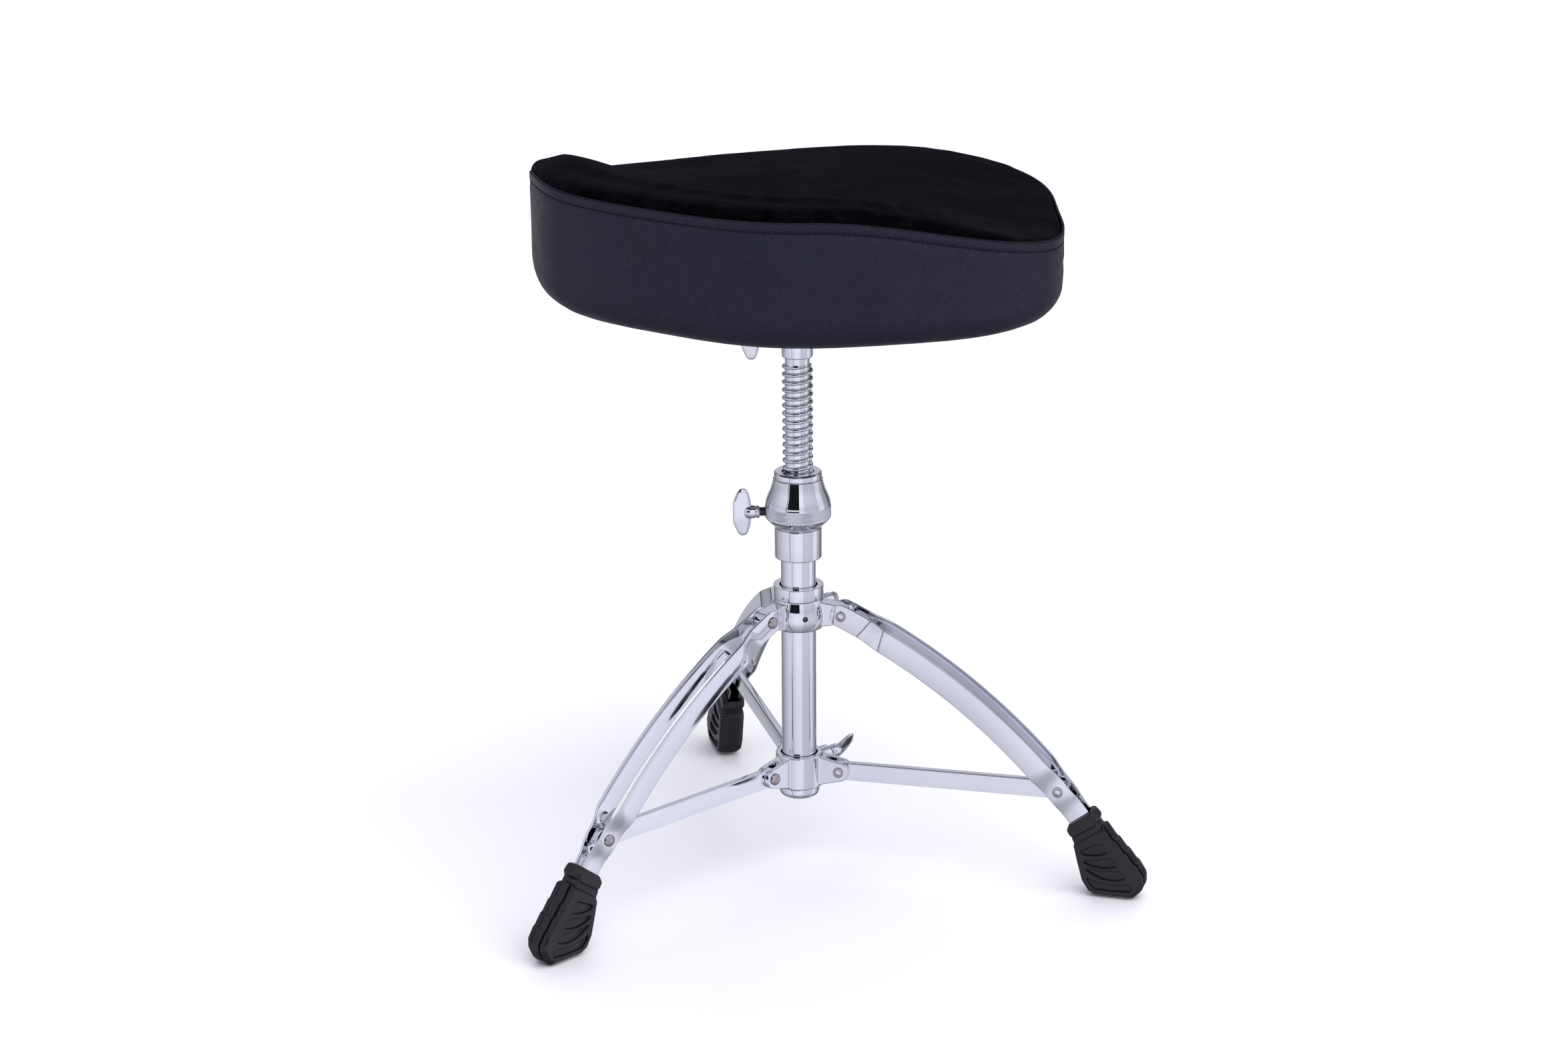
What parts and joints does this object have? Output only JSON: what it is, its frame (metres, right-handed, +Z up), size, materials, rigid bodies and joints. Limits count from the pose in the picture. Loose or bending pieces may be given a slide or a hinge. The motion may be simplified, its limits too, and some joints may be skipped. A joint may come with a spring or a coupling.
{
  "type": "drum throne",
  "caption": "Saddle-style drum throne: padded velour seat on a threaded rod with a lock collar, over a folding chromed tripod with double-strap legs and ribbed rubber feet.",
  "frame": {"origin": "middle of the bounding box at floor level; the column axis stands behind it on -Y", "axes": "+Z up along the column; the sitter faces -Y, +X is to the left hand of the sitter"},
  "size_m": [0.515, 0.5116, 0.609],
  "materials": {
    "chrome": "mirror chrome plate",
    "dark_steel": "blackened steel",
    "rivet_steel": "satin nickel",
    "rubber": "moulded matt rubber",
    "vinyl": "fine-grained vinyl, soft sheen",
    "velour": "deep black velour",
    "nylon": "moulded",
    "foam": "moulded foam",
    "plywood": "raw plywood",
    "dust_cloth": "non-woven cloth"
  },
  "bodies": {
    "base": {"base_tube": "chrome", "tube_end_nut": "chrome", "thread_sleeve": "chrome", "thread_nut": "dark_steel", "upper_hub": "chrome", "upper_hub_ring": "chrome", "hub_clamp_bolt": "rivet_steel", "hub_pin": "dark_steel"},
    "rod_guide_body": {"rod_guide": "nylon"},
    "rod": {"threaded_rod": "chrome"},
    "seat_bush": {"receiver_bush": "nylon"},
    "seat": {"seat_top_cover": "velour", "seat_side_cover": "vinyl", "seat_foam": "foam", "seat_board": "plywood", "seat_bottom_cover": "dust_cloth", "seat_receiver": "chrome", "receiver_bolt_1": "dark_steel", "receiver_bolt_2": "dark_steel", "receiver_bolt_3": "dark_steel", "receiver_bolt_4": "dark_steel"},
    "seat_screw_pad": {"seat_pad": "nylon"},
    "seat_screw": {"seat_wing": "chrome", "seat_stud": "dark_steel"},
    "collar": {"lock_collar": "chrome"},
    "collar_screw_pad": {"collar_pad": "nylon"},
    "collar_screw": {"collar_wing": "chrome", "collar_stud": "dark_steel"},
    "lower_hub_body": {"lower_hub": "chrome", "rear_lower_rivet": "rivet_steel", "right_lower_rivet": "rivet_steel", "left_lower_rivet": "rivet_steel"},
    "hub_screw_pad": {"hub_pad": "nylon"},
    "hub_screw": {"hub_wing": "chrome", "hub_stud": "dark_steel"},
    "rear_leg": {"rear_leg_strap_a": "chrome", "rear_leg_strap_b": "chrome", "rear_foot": "rubber", "rear_upper_rivet": "rivet_steel", "rear_brace_rivet_head": "rivet_steel", "rear_brace_rivet_tail": "rivet_steel"},
    "rear_brace_body": {"rear_brace": "chrome"},
    "right_leg": {"right_leg_strap_a": "chrome", "right_leg_strap_b": "chrome", "right_foot": "rubber", "right_upper_rivet": "rivet_steel", "right_brace_rivet_head": "rivet_steel", "right_brace_rivet_tail": "rivet_steel"},
    "right_brace_body": {"right_brace": "chrome"},
    "left_leg": {"left_leg_strap_a": "chrome", "left_leg_strap_b": "chrome", "left_foot": "rubber", "left_upper_rivet": "rivet_steel", "left_brace_rivet_head": "rivet_steel", "left_brace_rivet_tail": "rivet_steel"},
    "left_brace_body": {"left_brace": "chrome"}
  },
  "joints": [
    {"name": "rod_height", "type": "slide", "parent": "base", "child": "rod_guide_body", "axis": [0, 0, 1], "range_m": [-0.08857, 0.05905]},
    {"name": "rod_turn", "type": "hinge", "parent": "rod_guide_body", "child": "rod", "pos_m": [0, -0.03773, 0.3], "axis": [0, 0, 1], "range_deg": [-4862, 3242]},
    {"name": "seat_lift", "type": "slide", "parent": "rod", "child": "seat_bush", "axis": [0, 0, 1], "range_m": [0, 0.05]},
    {"name": "seat_swivel", "type": "hinge", "parent": "seat_bush", "child": "seat", "pos_m": [0, -0.03773, 0.46], "axis": [0, 0, 1], "continuous": true},
    {"name": "collar_turn", "type": "hinge", "parent": "base", "child": "collar", "pos_m": [0, -0.03773, 0.309], "axis": [0, 0, 1], "range_deg": [0, 180]},
    {"name": "seat_screw_travel", "type": "slide", "parent": "seat", "child": "seat_screw_pad", "axis": [0.6947, 0.7193, 0], "range_m": [0, 0.00376]},
    {"name": "seat_screw_turn", "type": "hinge", "parent": "seat_screw_pad", "child": "seat_screw", "pos_m": [0.02084, -0.01615, 0.456], "axis": [0.6947, 0.7193, 0], "range_deg": [0, 1084]},
    {"name": "collar_screw_travel", "type": "slide", "parent": "collar", "child": "collar_screw_pad", "axis": [0.6428, 0.766, 0], "range_m": [0, 0.00376]},
    {"name": "collar_screw_turn", "type": "hinge", "parent": "collar_screw_pad", "child": "collar_screw", "pos_m": [0.01928, -0.01475, 0.309], "axis": [0.6428, 0.766, 0], "range_deg": [0, 1084]},
    {"name": "tripod_fold", "type": "slide", "parent": "base", "child": "lower_hub_body", "axis": [0, 0, 1], "range_m": [0, 0.094]},
    {"name": "hub_screw_travel", "type": "slide", "parent": "lower_hub_body", "child": "hub_screw_pad", "axis": [0, -1, 0], "range_m": [0, 0.00376]},
    {"name": "hub_screw_turn", "type": "hinge", "parent": "hub_screw_pad", "child": "hub_screw", "pos_m": [0, -0.06773, 0.088], "axis": [0, -1, 0], "range_deg": [0, 1084]},
    {"name": "rear_leg_fold", "type": "hinge", "parent": "base", "child": "rear_leg", "pos_m": [0, -0.00003, 0.2236], "axis": [-1, 0, 0], "range_deg": [0, 43.1]},
    {"name": "rear_brace_fold", "type": "hinge", "parent": "lower_hub_body", "child": "rear_brace_body", "pos_m": [0, -0.00273, 0.0859], "axis": [-1, 0, 0], "range_deg": [0, 77.2]},
    {"name": "right_leg_fold", "type": "hinge", "parent": "base", "child": "right_leg", "pos_m": [-0.03265, -0.05658, 0.2236], "axis": [0.5, -0.866, 0], "range_deg": [0, 43.1]},
    {"name": "right_brace_fold", "type": "hinge", "parent": "lower_hub_body", "child": "right_brace_body", "pos_m": [-0.03031, -0.05523, 0.0859], "axis": [0.5, -0.866, 0], "range_deg": [0, 77.2]},
    {"name": "left_leg_fold", "type": "hinge", "parent": "base", "child": "left_leg", "pos_m": [0.03265, -0.05658, 0.2236], "axis": [0.5, 0.866, 0], "range_deg": [0, 43.1]},
    {"name": "left_brace_fold", "type": "hinge", "parent": "lower_hub_body", "child": "left_brace_body", "pos_m": [0.03031, -0.05523, 0.0859], "axis": [0.5, 0.866, 0], "range_deg": [0, 77.2]}
  ],
  "couplings": [
    {"joint": "rod_turn", "follows": "rod_height", "rad_per_m": 957.8},
    {"joint": "seat_screw_turn", "follows": "seat_screw_travel", "rad_per_m": 5026.5},
    {"joint": "collar_screw_turn", "follows": "collar_screw_travel", "rad_per_m": 5026.5},
    {"joint": "hub_screw_turn", "follows": "hub_screw_travel", "rad_per_m": 5026.5},
    {"joint": "rear_leg_fold", "follows": "tripod_fold", "rad_per_m": 7.9862},
    {"joint": "rear_brace_fold", "follows": "tripod_fold", "rad_per_m": 14.309},
    {"joint": "right_leg_fold", "follows": "tripod_fold", "rad_per_m": 7.9862},
    {"joint": "right_brace_fold", "follows": "tripod_fold", "rad_per_m": 14.309},
    {"joint": "left_leg_fold", "follows": "tripod_fold", "rad_per_m": 7.9862},
    {"joint": "left_brace_fold", "follows": "tripod_fold", "rad_per_m": 14.309}
  ]
}
